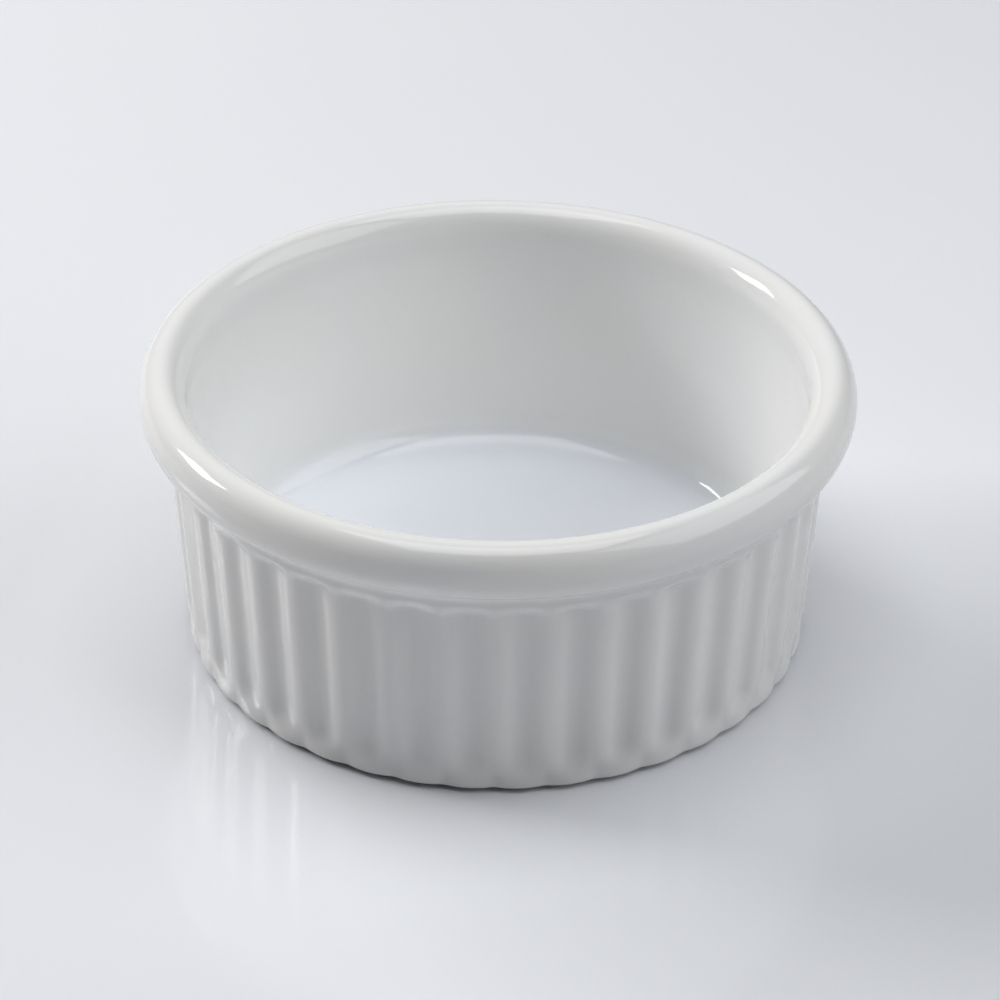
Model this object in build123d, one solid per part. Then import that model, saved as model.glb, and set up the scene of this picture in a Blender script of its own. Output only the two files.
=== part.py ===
from build123d import *
import os
from math import cos, pi, sin, sqrt

# A small round baking dish: a fired clay body with a rolled rim over a fluted wall,
# standing on a bare foot ring, under a thin coat of glaze that softens its edges.
# Lengths are in millimetres and outside sizes are taken over the glaze.

# Overall
rim_diameter = 90.0
overall_height = 37.75
glaze_thickness = 0.3

# Rim roll and the plain collar under it
rim_overhang = 3.15
wall_thickness = 2.75
roll_height = 7.3
collar_height = 1.7
collar_fillet = 1.0
collar_edge_round = 0.25

# Fluted wall, with hollow flutes between rounded ridges
collar_step = 0.3
wall_taper = 1.6
flute_count = 40
flute_depth = 0.76
ridge_round = 3.6
base_edge_round = 0.5

# Lower ends of the flutes, where the ridges step back and the glaze has pooled
pool_height = 1.6
pool_fade = 1.8
pool_setback = 0.3
pool_bulge = 0.35
notch_round = 1.5

# Inside of the bowl
land_height = 2.7
inner_taper = 2.05
floor_thickness = 3.0
floor_fillet = 3.0

# Foot ring, left bare
foot_height = 0.6
foot_setback = 0.55
foot_width = 3.2
foot_round = 0.25

# Flat bands that stand for the rounding of the lower edge of the flutes
edge_bands = 2

# How far a cutting tool runs past the surface that it cuts
overrun = 2.0

# Worked out from the sizes above
rim_radius = rim_diameter / 2
roll_half_width = (rim_overhang + wall_thickness) / 2
roll_half_height = roll_height / 2
roll_centre_radius = rim_radius - roll_half_width
roll_centre_height = overall_height - roll_half_height
collar_radius = rim_radius - rim_overhang
collar_bottom = overall_height - roll_height - collar_height
mouth_radius = collar_radius - wall_thickness
land_bottom = roll_centre_height - land_height
floor_height = foot_height + floor_thickness
wall_top_radius = collar_radius - collar_step
wall_base_radius = wall_top_radius - wall_taper
foot_outer_radius = wall_base_radius - flute_depth - foot_setback
foot_inner_radius = foot_outer_radius - foot_width
pool_top = foot_height + pool_height
flute_end = pool_top + pool_fade


def nearest_vertex(face, radius, height):
    """The corner of a half section that lies nearest to a radius and a height."""
    return face.vertices().sort_by_distance((radius, 0, height))[0]


def bowl_section(skin):
    """Half section of the bowl without flutes or foot, skin deep under the glaze surface."""
    outside = collar_radius - skin
    inside = mouth_radius + skin
    floor_corner = inside - inner_taper
    floor_level = floor_height - skin
    wall = Polyline(
        (0, foot_height + skin),
        (outside, foot_height + skin),
        (outside, roll_centre_height),
        (inside, roll_centre_height),
        (inside, land_bottom),
        (floor_corner, floor_level),
        (0, floor_level),
        close=True,
    )
    half_width = roll_half_width - skin
    half_height = roll_half_height - skin
    roll = Pos(roll_centre_radius, roll_centre_height) * Ellipse(half_width, half_height)
    section = Plane.XZ * (make_face(wall) + roll)
    inset_share = (roll_centre_radius - outside) / half_width
    under_roll = roll_centre_height - half_height * sqrt(1 - inset_share**2)
    section = fillet(nearest_vertex(section, outside, under_roll), collar_fillet + skin)
    return fillet(nearest_vertex(section, floor_corner, floor_level), floor_fillet + skin)


def ridge_line(height):
    """Radius of the tapering wall at its ridges."""
    rise = height - foot_height
    return wall_base_radius + wall_taper * rise / (collar_bottom - foot_height)


def fluted_outline(height, ridge_radius, hollow_radius, ridge_arc):
    """Level outline of rounded ridges and hollows that run smoothly into one another.

    Where the ridge arc is negative, both bend the other way: bulges between rounded notches.
    """
    half_turn = 180 / flute_count
    ridge_centre = Vector(ridge_radius - ridge_arc, 0).rotate(Axis.Z, half_turn)
    hollow_middle = Vector(hollow_radius, 0)
    offset = hollow_middle - ridge_centre
    hollow_arc = (ridge_arc**2 - offset.length**2) / (offset.X - ridge_arc) / 2
    hollow_centre = Vector(hollow_radius + hollow_arc, 0)
    joint = ridge_centre + (hollow_centre - ridge_centre) * (ridge_arc / (ridge_arc + hollow_arc))
    mirrored_joint = Vector(joint.X, -joint.Y)
    arcs = []
    for flute in range(flute_count):
        turn = 2 * half_turn * flute
        start = mirrored_joint.rotate(Axis.Z, turn)
        hollow = hollow_middle.rotate(Axis.Z, turn)
        joined = joint.rotate(Axis.Z, turn)
        ridge = Vector(ridge_radius, 0).rotate(Axis.Z, turn + half_turn)
        end = mirrored_joint.rotate(Axis.Z, turn + 2 * half_turn)
        arcs.append(ThreePointArc(start, hollow, joined))
        arcs.append(ThreePointArc(joined, ridge, end))
    return Pos(0, 0, height) * make_face(arcs)


def flute_section(height, skin, setback):
    """Level outline of the full flutes, skin deep under the glaze, with the ridges set back."""
    surface = ridge_line(height) - skin
    return fluted_outline(height, surface - setback, surface - flute_depth, ridge_round - skin)


def clay_core():
    """Tapered solid inside the flutes as pressed in the clay, with ridges that fall off below."""
    outlines = [
        flute_section(foot_height + glaze_thickness, glaze_thickness, pool_setback),
        flute_section(flute_end, glaze_thickness, 0),
        flute_section(collar_bottom + glaze_thickness, glaze_thickness, 0),
    ]
    return loft(outlines, ruled=True)


def glazed_core():
    """Tapered solid inside the glazed flutes, with glaze pooled in the flutes' lower ends."""
    levels = []
    for band in range(edge_bands + 1):
        angle = pi / 2 * band / edge_bands
        levels.append((base_edge_round * (1 - cos(angle)), base_edge_round * (1 - sin(angle))))
    levels.append((pool_height, 0))
    outlines = []
    for rise, inset in levels:
        height = foot_height + rise
        notch_radius = ridge_line(height) - pool_setback - inset
        outlines.append(fluted_outline(height, notch_radius, notch_radius + pool_bulge, -notch_round))
    outlines.append(flute_section(flute_end, 0, 0))
    outlines.append(flute_section(collar_bottom, 0, 0))
    return loft(outlines, ruled=True)


def wall_cutter(skin, edge_round):
    """Turned ring that clears the blank wall below the collar and rounds the collar's edge."""
    outside = collar_radius + overrun
    ledge = collar_bottom + skin
    corner = collar_radius - skin
    path = Polyline(
        (corner - edge_round, ledge),
        (0, ledge),
        (0, foot_height + skin),
        (outside, foot_height + skin),
        (outside, ledge + edge_round),
        (corner, ledge + edge_round),
        close=edge_round == 0,
    )
    if edge_round > 0:
        path = [path, RadiusArc(path @ 1, path @ 0, edge_round)]
    return revolve(Plane.XZ * make_face(path), Axis.Z)


def foot_ring():
    """Bare ring that the dish stands on."""
    height = foot_height + glaze_thickness
    ring = extrude(Circle(foot_outer_radius) - Circle(foot_inner_radius), height)
    return fillet(ring.faces().sort_by(Axis.Z)[0].edges(), foot_round)


clay_blank = revolve(bowl_section(glaze_thickness), Axis.Z)
clay_wall = wall_cutter(glaze_thickness, 0) - clay_core()
ceramic_body = clay_blank - clay_wall + foot_ring()

glazed_blank = revolve(bowl_section(0), Axis.Z)
glazed_wall = wall_cutter(0, collar_edge_round) - glazed_core()
glaze = (glazed_blank - glazed_wall - ceramic_body).solids().sort_by(SortBy.VOLUME)

parts = {
    "ceramic_body": ceramic_body.solid(),
    "underside_glaze": glaze[0],
    "glaze_coat": glaze[-1],
}

os.makedirs("parts", exist_ok=True)
for name, shape in parts.items():
    shape.label = name
    export_step(shape, f"parts/{name}.step")
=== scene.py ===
import math

import bmesh
import bpy
from mathutils import Matrix, Vector


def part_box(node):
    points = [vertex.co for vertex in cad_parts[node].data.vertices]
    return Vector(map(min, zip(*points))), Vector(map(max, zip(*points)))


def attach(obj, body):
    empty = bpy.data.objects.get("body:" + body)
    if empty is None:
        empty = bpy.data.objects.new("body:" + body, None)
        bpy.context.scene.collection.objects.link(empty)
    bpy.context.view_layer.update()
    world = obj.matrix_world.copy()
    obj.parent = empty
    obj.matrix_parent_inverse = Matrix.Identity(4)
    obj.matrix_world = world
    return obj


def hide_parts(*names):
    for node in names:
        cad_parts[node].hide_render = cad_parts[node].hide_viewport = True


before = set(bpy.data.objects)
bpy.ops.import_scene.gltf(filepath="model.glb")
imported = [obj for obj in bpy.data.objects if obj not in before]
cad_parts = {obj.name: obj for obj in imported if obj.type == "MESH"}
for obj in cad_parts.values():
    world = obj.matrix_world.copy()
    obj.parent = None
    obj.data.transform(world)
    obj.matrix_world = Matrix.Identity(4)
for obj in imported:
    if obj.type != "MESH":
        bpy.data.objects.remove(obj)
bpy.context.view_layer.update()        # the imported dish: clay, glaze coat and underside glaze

mm = 0.001
hair = 0.01 * mm        # less than the gap between any two rings
hairTurn = 0.0005        # radians, less than the turn between two columns of points
coatLow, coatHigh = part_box("glaze_coat")

# Helpers for working by hand in code


def deselectAll():
    active = bpy.context.object
    if active and active.mode != "OBJECT":
        bpy.ops.object.mode_set(mode="OBJECT")
    bpy.ops.object.select_all(action="DESELECT")


def makeActive(piece):
    deselectAll()
    bpy.context.view_layer.objects.active = piece
    piece.select_set(True)


def pick(test):        # selects the vertices that pass, in edit mode
    bpy.ops.mesh.select_all(action="DESELECT")
    data = bpy.context.object.data
    mesh = bmesh.from_edit_mesh(data)
    for vert in mesh.verts:
        if test(vert.co):
            vert.select_set(True)
    mesh.select_flush(True)
    bmesh.update_edit_mesh(data)


def near(place, x, z, reach=0.02 * mm):
    return abs(place.x - x) < reach and abs(place.z - z) < reach


def drawOn(points):        # extrudes the vertex at the first point through the other points
    for start, end in zip(points, points[1:]):
        pick(lambda place: near(place, *start))
        step = (end[0] - start[0], 0, end[1] - start[1])
        bpy.ops.mesh.extrude_region_move(TRANSFORM_OT_translate={"value": step})


def roundCorner(x, z, distance, segments):
    pick(lambda place: near(place, x, z))
    bpy.ops.mesh.bevel(offset=distance, offset_type="ABSOLUTE", segments=segments, affect="VERTICES")


def divide(one, other, cuts):        # adds rings between the profile points nearest to two places
    mesh = bmesh.from_edit_mesh(bpy.context.object.data)
    ends = []
    for x, z in (one, other):
        found = min(mesh.verts, key=lambda vert: (vert.co.x - x) ** 2 + (vert.co.z - z) ** 2)
        ends.append((found.co.x, found.co.z))
    pick(lambda place: any(near(place, *end) for end in ends))
    bpy.ops.mesh.subdivide(number_cuts=cuts)


def applyModifiers(piece):
    makeActive(piece)
    for modifier in list(piece.modifiers):
        bpy.ops.object.modifier_apply(modifier=modifier.name)


# The glaze coat: half a section of the dish, spun through one flute, shaped and repeated round

coat = {
    "overhang": 3.15 * mm, "wall": 2.75 * mm, "rollHeight": 7.3 * mm, "rollPoints": 48,
    "collarHeight": 1.7 * mm, "coveReach": 1.3 * mm, "coveRound": 1.1 * mm, "coveSegments": 6,
    "collarStep": 0.3 * mm, "wallTaper": 1.6 * mm,
    "flutes": 40, "fluteDepth": 0.76 * mm, "ridgeRound": 3.6 * mm,
    "topLength": 1.9 * mm, "flareLength": 2.2 * mm,        # run-out under the collar, flute and ridge
    "cornerWidth": 1.4 * mm, "cornerHeight": 0.35 * mm,
    "topReach": 2.8 * mm, "topShares": (0.05, 0.1, 0.15, 0.2, 0.26, 0.33, 0.41, 0.5, 0.61, 0.75, 1),
    "wallRings": 4, "poolReach": 5.4 * mm, "poolRings": 8,
    "poolFull": 0.9 * mm, "poolEnd": 5.0 * mm,        # heights over the lower edge
    "poolSetback": 0.3 * mm, "poolBulge": 0.35 * mm, "notchRound": 1.5 * mm,
    "baseRound": 0.5 * mm, "baseSegments": 5, "footSetback": 0.55 * mm,
    "landHeight": 2.7 * mm, "landBlend": 0.5 * mm, "landSegments": 3, "innerTaper": 2.05 * mm,
    "floor": 3.0 * mm, "floorRound": 4.2 * mm, "floorSegments": 7, "floorRings": 4,
    "columns": 6,        # from the middle of a flute to a ridge
    "spinMerge": 0.03 * mm, "repeatMerge": 0.003 * mm,
    "unevenness": 0.06 * mm, "unevenSize": 14 * mm, "thickness": 0.08 * mm,
}

rimRadius = coatHigh.x
halfWidth = (coat["overhang"] + coat["wall"]) / 2
halfHeight = coat["rollHeight"] / 2
rollRadius = rimRadius - halfWidth
rollMiddle = coatHigh.z - halfHeight
collarRadius = rimRadius - coat["overhang"]
collarBottom = coatHigh.z - coat["rollHeight"] - coat["collarHeight"]
mouthRadius = collarRadius - coat["wall"]
landBottom = rollMiddle - coat["landHeight"]
floorLevel = coatLow.z + coat["floor"]
ridgeTop = collarRadius - coat["collarStep"]
ridgeBase = ridgeTop - coat["wallTaper"]
baseEdge = ridgeBase - coat["poolSetback"] + coat["poolBulge"]
footRadius = ridgeBase - coat["fluteDepth"] - coat["footSetback"]
insideWall = mouthRadius + 0.2 * mm        # below the collar, all beyond this is the outside
halfFlute = math.pi / coat["flutes"]


def ridgeLine(height):        # the ridges lean in from the collar to the base
    share = (height - coatLow.z) / (collarBottom - coatLow.z)
    return ridgeBase + coat["wallTaper"] * share


def waveRadius(ridge, hollow, ridgeArc, turn):        # turn is counted from the middle of a hollow
    ridgeCentre = ridge - ridgeArc
    aside, across = ridgeCentre * math.cos(halfFlute), ridgeCentre * math.sin(halfFlute)
    offset = hollow - aside
    hollowArc = (ridgeArc**2 - offset**2 - across**2) / (offset - ridgeArc) / 2
    hollowCentre = hollow + hollowArc
    share = ridgeArc / (ridgeArc + hollowArc)
    joint = math.atan2(across * (1 - share), aside + (hollowCentre - aside) * share)
    if turn < joint:        # the two arcs run into each other at the joint
        centre, arc, angle = hollowCentre, -hollowArc, turn
    else:
        centre, arc, angle = ridgeCentre, ridgeArc, halfFlute - turn
    reach = math.sqrt(arc**2 - (centre * math.sin(angle)) ** 2)
    return centre * math.cos(angle) + math.copysign(reach, arc)


def eased(share):        # from 0 to 1 with a soft start and end
    share = min(1, max(0, share))
    return share * share * (3 - 2 * share)


def wallRadius(height, turn):
    ridge = ridgeLine(height)
    full = waveRadius(ridge, ridge - coat["fluteDepth"], coat["ridgeRound"], turn)
    onRidge = 1 - min(1, ridge * (halfFlute - turn) / coat["cornerWidth"])        # 1 on it, 0 in a flute
    start = collarBottom - coat["cornerHeight"] * (1 - math.sqrt(1 - onRidge**2))
    length = coat["topLength"] + (coat["flareLength"] - coat["topLength"]) * onRidge
    full = collarRadius + (full - collarRadius) * eased((start - height) / length)
    notch = ridge - coat["poolSetback"]        # pooled glaze bulges past the ridges beside it
    pool = waveRadius(notch, notch + coat["poolBulge"], -coat["notchRound"], turn)
    fade = (height - coatLow.z - coat["poolFull"]) / (coat["poolEnd"] - coat["poolFull"])
    return full + (pool - full) * (1 - eased(fade))


def drawProfile():
    deselectAll()
    bpy.ops.mesh.primitive_circle_add(
        vertices=coat["rollPoints"], radius=halfHeight,
        location=(rollRadius, 0, rollMiddle), rotation=(math.pi / 2, 0, 0),
    )
    piece = bpy.context.object
    bpy.ops.object.transform_apply(location=True, rotation=True, scale=True)
    bpy.ops.object.mode_set(mode="EDIT")
    bpy.ops.mesh.select_mode(type="VERT")
    bpy.ops.mesh.select_all(action="SELECT")
    bpy.ops.transform.resize(
        value=(halfWidth / halfHeight, 1, 1), center_override=(rollRadius, 0, rollMiddle)
    )
    underEdge = collarRadius + coat["coveReach"]
    pick(lambda place: place.z < rollMiddle - hair and place.x < underEdge)
    bpy.ops.mesh.delete(type="VERT")

    verts = bmesh.from_edit_mesh(piece.data).verts
    outerEnd = min(verts, key=lambda vert: vert.co.z).co.copy()
    innerEnd = min(verts, key=lambda vert: vert.co.x).co.copy()
    slope = (outerEnd.x - rollRadius) / (rollMiddle - outerEnd.z) * (halfHeight / halfWidth) ** 2
    underRoll = outerEnd.z - slope * (outerEnd.x - collarRadius)        # the cove keeps the roll's slope

    outer = [(outerEnd.x, outerEnd.z), (collarRadius, underRoll), (collarRadius, collarBottom)]
    for share in coat["topShares"]:
        height = collarBottom - coat["topReach"] * share
        outer.append((ridgeLine(height), height))
    poolHead = coatLow.z + coat["poolReach"]
    outer.append((ridgeLine(poolHead), poolHead))
    lastTop, firstPool = outer[-2:]
    outer.append((baseEdge, coatLow.z))
    outer.append((footRadius, coatLow.z))
    drawOn(outer)
    roundCorner(collarRadius, underRoll, coat["coveRound"], coat["coveSegments"])
    roundCorner(baseEdge, coatLow.z, coat["baseRound"], coat["baseSegments"])

    floorCorner = mouthRadius - coat["innerTaper"]
    inner = [(innerEnd.x, innerEnd.z), (mouthRadius, landBottom)]
    inner += [(floorCorner, floorLevel), (0, floorLevel)]
    drawOn(inner)
    lean = math.atan(coat["innerTaper"] / (landBottom - floorLevel))
    tangent = coat["floorRound"] * math.tan(math.pi / 4 - lean / 2)
    roundCorner(floorCorner, floorLevel, tangent, coat["floorSegments"])
    roundCorner(mouthRadius, landBottom, coat["landBlend"], coat["landSegments"])

    divide(firstPool, (baseEdge, coatLow.z + coat["baseRound"]), coat["poolRings"])
    divide(lastTop, firstPool, coat["wallRings"])
    upward = Vector((math.sin(lean), math.cos(lean)))
    wallFoot = Vector((floorCorner, floorLevel)) + upward * tangent
    wallHead = Vector((mouthRadius, landBottom)) - upward * coat["landBlend"]
    divide(wallFoot, wallHead, coat["wallRings"])
    divide((floorCorner - tangent, floorLevel), (0, floorLevel), coat["floorRings"])
    return piece


def foldedTurn(place):        # turn from the nearest middle of a flute
    turn = -math.atan2(place.y, place.x)
    return min(turn, 2 * halfFlute - turn)


def onFlutedWall(place):
    return place.z < collarBottom - hair and place.xy.length > insideWall


def shapeFlute():        # sets each column of the fluted rings to its own radius
    spots = {}
    for vert in bmesh.from_edit_mesh(bpy.context.object.data).verts:
        if onFlutedWall(vert.co):
            spots[round(vert.co.z / mm, 3), round(foldedTurn(vert.co), 4)] = vert.co.copy()
    for spot in spots.values():
        plain, turn = spot.xy.length, foldedTurn(spot)
        target = wallRadius(spot.z, turn)
        if spot.z < coatLow.z + coat["baseRound"]:
            target += plain - baseEdge
        pick(
            lambda place: onFlutedWall(place)
            and abs(place.z - spot.z) < hair
            and abs(foldedTurn(place) - turn) < hairTurn
        )
        bpy.ops.transform.resize(value=(target / plain, target / plain, 1), center_override=(0, 0, 0))


def makeGlazeCoat():
    piece = drawProfile()
    bpy.ops.mesh.select_all(action="SELECT")
    bpy.ops.mesh.spin(
        steps=2 * coat["columns"], angle=2 * halfFlute, center=(0, 0, 0), axis=(0, 0, 1)
    )
    bpy.ops.mesh.select_all(action="SELECT")
    bpy.ops.mesh.remove_doubles(threshold=coat["spinMerge"])        # closes the middle of the floor
    shapeFlute()
    bpy.ops.object.mode_set(mode="OBJECT")

    deselectAll()
    bpy.ops.object.empty_add(location=(0, 0, 0), rotation=(0, 0, -2 * halfFlute))
    turner = bpy.context.object
    makeActive(piece)
    repeat = piece.modifiers.new("roundTheDish", "ARRAY")
    repeat.count = coat["flutes"]
    repeat.use_relative_offset = False
    repeat.use_object_offset = True
    repeat.offset_object = turner
    applyModifiers(piece)
    bpy.data.objects.remove(turner)
    makeActive(piece)
    bpy.ops.object.mode_set(mode="EDIT")
    bpy.ops.mesh.select_all(action="SELECT")
    bpy.ops.mesh.remove_doubles(threshold=coat["repeatMerge"])        # joins each flute to the next
    bpy.ops.mesh.normals_make_consistent(inside=False)
    bpy.ops.object.mode_set(mode="OBJECT")
    bpy.ops.object.shade_smooth()

    ripple = bpy.data.textures.new("glazeUnevenness", "CLOUDS")
    ripple.noise_scale = coat["unevenSize"]
    displace = piece.modifiers.new("uneven", "DISPLACE")
    displace.texture = ripple
    displace.texture_coords = "LOCAL"
    displace.mid_level = 1        # only inwards, so the dish stays inside its sizes
    displace.strength = coat["unevenness"]
    skin = piece.modifiers.new("coat", "SOLIDIFY")
    skin.thickness = coat["thickness"]
    skin.offset = -1
    applyModifiers(piece)
    piece.name = "glazeCoat"
    return piece


# Materials


def newMaterial(name):
    material = bpy.data.materials.new(name)
    material.use_nodes = True
    nodes, links = material.node_tree.nodes, material.node_tree.links
    place = nodes.new("ShaderNodeTexCoord").outputs["Object"]
    return material, nodes, links, nodes["Principled BSDF"], place


def noiseOn(nodes, links, place, scale, detail=2.0):
    noise = nodes.new("ShaderNodeTexNoise")
    noise.inputs["Scale"].default_value = scale
    noise.inputs["Detail"].default_value = detail
    links.new(place, noise.inputs["Vector"])
    return noise.outputs["Fac"]


def between(nodes, links, share, low, high):        # from low to high as the share goes from 0 to 1
    spread = nodes.new("ShaderNodeMapRange")
    spread.inputs["To Min"].default_value = low
    spread.inputs["To Max"].default_value = high
    links.new(share, spread.inputs["Value"])
    return spread.outputs["Result"]


def fadeIn(nodes, links, value, start, full):        # from 0 at the start to 1 where it is full
    spread = nodes.new("ShaderNodeMapRange")
    spread.interpolation_type = "SMOOTHSTEP"
    spread.inputs["From Min"].default_value = start
    spread.inputs["From Max"].default_value = full
    links.new(value, spread.inputs["Value"])
    return spread.outputs["Result"]


def multiply(nodes, links, one, other):
    product = nodes.new("ShaderNodeMath")
    product.operation = "MULTIPLY"
    links.new(one, product.inputs[0])
    links.new(other, product.inputs[1])
    return product.outputs["Value"]


def tint(nodes, links, share, positions, colours):        # runs from one colour to another
    ramp = nodes.new("ShaderNodeValToRGB")
    for stop, position, colour in zip(ramp.color_ramp.elements, positions, colours):
        stop.position = position
        stop.color = (*colour, 1)
    links.new(share, ramp.inputs["Fac"])
    return ramp.outputs["Color"]


def blendColours(nodes, links, share, under, over):        # under is a socket and over a colour
    mix = nodes.new("ShaderNodeMix")
    mix.data_type = "RGBA"
    links.new(share, mix.inputs["Factor"])
    links.new(under, mix.inputs["A"])
    mix.inputs["B"].default_value = (*over, 1)
    return mix.outputs["Result"]


def addBump(nodes, links, shader, height, distance):
    bump = nodes.new("ShaderNodeBump")
    bump.inputs["Distance"].default_value = distance
    links.new(height, bump.inputs["Height"])
    links.new(bump.outputs["Normal"], shader.inputs["Normal"])


glaze = {
    "cool": (0.88, 0.885, 0.88), "warm": (0.895, 0.885, 0.865),
    "cloudScale": 45, "cloudStops": (0.35, 0.65),
    "pooled": (0.87, 0.90, 0.95),        # painted bluish reflection of the light above, on the floor of the bowl
    "reflectionRadius": (38.5 * mm, 34.5 * mm), "reflectionHeight": (9 * mm, 5 * mm),        # from none to full
    "smooth": 0.05, "dull": 0.11, "waveScale": 160, "waveHeight": 0.05 * mm,
}


# mask for the painted bluish reflection on the floor of the bowl
def onFloorOfBowl(nodes, links, place):        # 1 on the floor, 0 on the walls
    level = nodes.new("ShaderNodeVectorMath")
    level.operation = "MULTIPLY"
    level.inputs[1].default_value = (1, 1, 0)
    links.new(place, level.inputs[0])
    outward = nodes.new("ShaderNodeVectorMath")
    outward.operation = "LENGTH"
    links.new(level.outputs["Vector"], outward.inputs[0])
    apart = nodes.new("ShaderNodeSeparateXYZ")
    links.new(place, apart.inputs["Vector"])
    middle = fadeIn(nodes, links, outward.outputs["Value"], *glaze["reflectionRadius"])
    low = fadeIn(nodes, links, apart.outputs["Z"], *glaze["reflectionHeight"])
    return multiply(nodes, links, middle, low)


def glazeMaterial():
    material, nodes, links, shader, place = newMaterial("whiteGlaze")
    cloud = noiseOn(nodes, links, place, glaze["cloudScale"])
    colour = tint(nodes, links, cloud, glaze["cloudStops"], (glaze["cool"], glaze["warm"]))
    # paints a bluish reflection of the light onto the floor of the bowl
    colour = blendColours(nodes, links, onFloorOfBowl(nodes, links, place), colour, glaze["pooled"])
    links.new(colour, shader.inputs["Base Color"])
    links.new(between(nodes, links, cloud, glaze["smooth"], glaze["dull"]), shader.inputs["Roughness"])
    addBump(nodes, links, shader, noiseOn(nodes, links, place, glaze["waveScale"]), glaze["waveHeight"])
    return material


clay = {
    # the clay's colours are darkened as painted shade for the gap under the dish; the grain between them
    # is the clay's own
    "dark": (0.25, 0.21, 0.17), "light": (0.40, 0.35, 0.29), "roughness": 0.9,
    "grainScale": 1800, "grainDetail": 4, "grainStops": (0.3, 0.7), "grainHeight": 0.04 * mm,
}


def clayMaterial():
    material, nodes, links, shader, place = newMaterial("bareClay")
    grain = noiseOn(nodes, links, place, clay["grainScale"], clay["grainDetail"])
    # grain runs between two clay colours, both darkened as painted shade for the gap under the dish
    colour = tint(nodes, links, grain, clay["grainStops"], (clay["dark"], clay["light"]))
    links.new(colour, shader.inputs["Base Color"])
    shader.inputs["Roughness"].default_value = clay["roughness"]
    addBump(nodes, links, shader, grain, clay["grainHeight"])
    return material


# The table that the dish stands on

table = {
    "size": 4.0, "colour": (0.855, 0.865, 0.90), "shade": (0.835, 0.847, 0.885),
    "cloudScale": 6, "cloudStops": (0.3, 0.7),
    "polished": 0.08, "rubbed": 0.16, "rubScale": 30, "rubDetail": 4,
}


def makeTable():
    deselectAll()
    bpy.ops.mesh.primitive_plane_add(size=table["size"], location=(0, 0, 0))
    piece = bpy.context.object
    piece.name = "table"
    material, nodes, links, shader, place = newMaterial("tableTop")
    cloud = noiseOn(nodes, links, place, table["cloudScale"])
    colour = tint(nodes, links, cloud, table["cloudStops"], (table["colour"], table["shade"]))
    links.new(colour, shader.inputs["Base Color"])
    rub = noiseOn(nodes, links, place, table["rubScale"], table["rubDetail"])
    links.new(between(nodes, links, rub, table["polished"], table["rubbed"]), shader.inputs["Roughness"])
    piece.data.materials.append(material)


# Light and camera

studio = {
    "world": 0.05, "worldColour": (0.97, 0.98, 1.0),
    "lamps": (        # name, turn from the front, height angle, distance, width, height, level, colour
        ("key", -113, 30, 0.9, 0.24, 0.20, 0.34, (1.0, 0.99, 0.97)),
        ("window", -138, 30, 0.9, 0.40, 0.30, 0.40, (1.0, 0.99, 0.98)),
        ("rightFill", 78, 42, 1.0, 1.0, 0.8, 0.43, (0.97, 0.985, 1.0)),
        ("overhead", 0, 89, 1.0, 0.7, 0.7, 0.39, (0.97, 0.985, 1.0)),
    ),
    "withoutHighlights": ("window",),        # lights the dish but shows in no reflection
}


def makeLights():
    world = bpy.data.worlds.new("studioRoom")
    bpy.context.scene.world = world
    world.use_nodes = True
    background = world.node_tree.nodes["Background"]
    background.inputs["Color"].default_value = (*studio["worldColour"], 1)
    background.inputs["Strength"].default_value = studio["world"]
    for name, turn, lift, distance, width, height, level, colour in studio["lamps"]:
        angle, rise = math.radians(turn), math.radians(lift)
        outward = math.cos(rise)
        away = Vector((math.sin(angle) * outward, -math.cos(angle) * outward, math.sin(rise)))
        deselectAll()
        bpy.ops.object.light_add(
            type="AREA", location=away * distance, rotation=away.to_track_quat("Z", "Y").to_euler()
        )
        stand = bpy.context.object
        stand.visible_glossy = name not in studio["withoutHighlights"]
        lamp = stand.data
        lamp.name = name
        lamp.shape = "RECTANGLE"
        lamp.size, lamp.size_y = width, height
        lamp.energy = level * (math.pi * distance) ** 2        # a level of 1 shows white as white
        lamp.color = colour


viewpoint = {
    "distance": 445.4 * mm, "lift": 32.643, "turn": -4.5, "tilt": 0.603,        # angles in degrees
    "aim": (0.38 * mm, 0, 16.809 * mm), "focalPixels": 3472.7, "imagePixels": 1000,
    "sensor": 36, "clipNear": 10 * mm, "clipFar": 10,
}


def makeCamera():
    lift, tilt = math.radians(viewpoint["lift"]), math.radians(viewpoint["tilt"])
    back = Vector((0, -math.cos(lift), math.sin(lift)))
    right = Vector((1, 0, 0))
    up = back.cross(right)
    across = math.cos(tilt) * right + math.sin(tilt) * up
    upright = math.cos(tilt) * up - math.sin(tilt) * right
    pose = Matrix((across, upright, back)).transposed().to_4x4()
    pose.translation = Vector(viewpoint["aim"]) + viewpoint["distance"] * back
    turned = Matrix.Rotation(math.radians(viewpoint["turn"]), 4, "Z") @ pose
    deselectAll()
    bpy.ops.object.camera_add(location=turned.translation, rotation=turned.to_euler())
    camera = bpy.context.object
    camera.data.sensor_width = viewpoint["sensor"]
    camera.data.lens = viewpoint["focalPixels"] * viewpoint["sensor"] / viewpoint["imagePixels"]
    camera.data.clip_start, camera.data.clip_end = viewpoint["clipNear"], viewpoint["clipFar"]
    bpy.context.scene.camera = camera


bpy.context.scene.view_settings.view_transform = "Standard"
makeCamera()
makeTable()
makeLights()
print("camera, table and lights are in place")

white = glazeMaterial()
bare = clayMaterial()
glazeCoat = makeGlazeCoat()
glazeCoat.data.materials.clear()
glazeCoat.data.materials.append(white)
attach(glazeCoat, "root")
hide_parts("glaze_coat")
print("glaze coat:", len(glazeCoat.data.polygons), "faces")

for node, material in (("ceramic_body", bare), ("underside_glaze", white)):
    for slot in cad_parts[node].material_slots:
        slot.material = material
print("clay and underside glaze have their finishes")
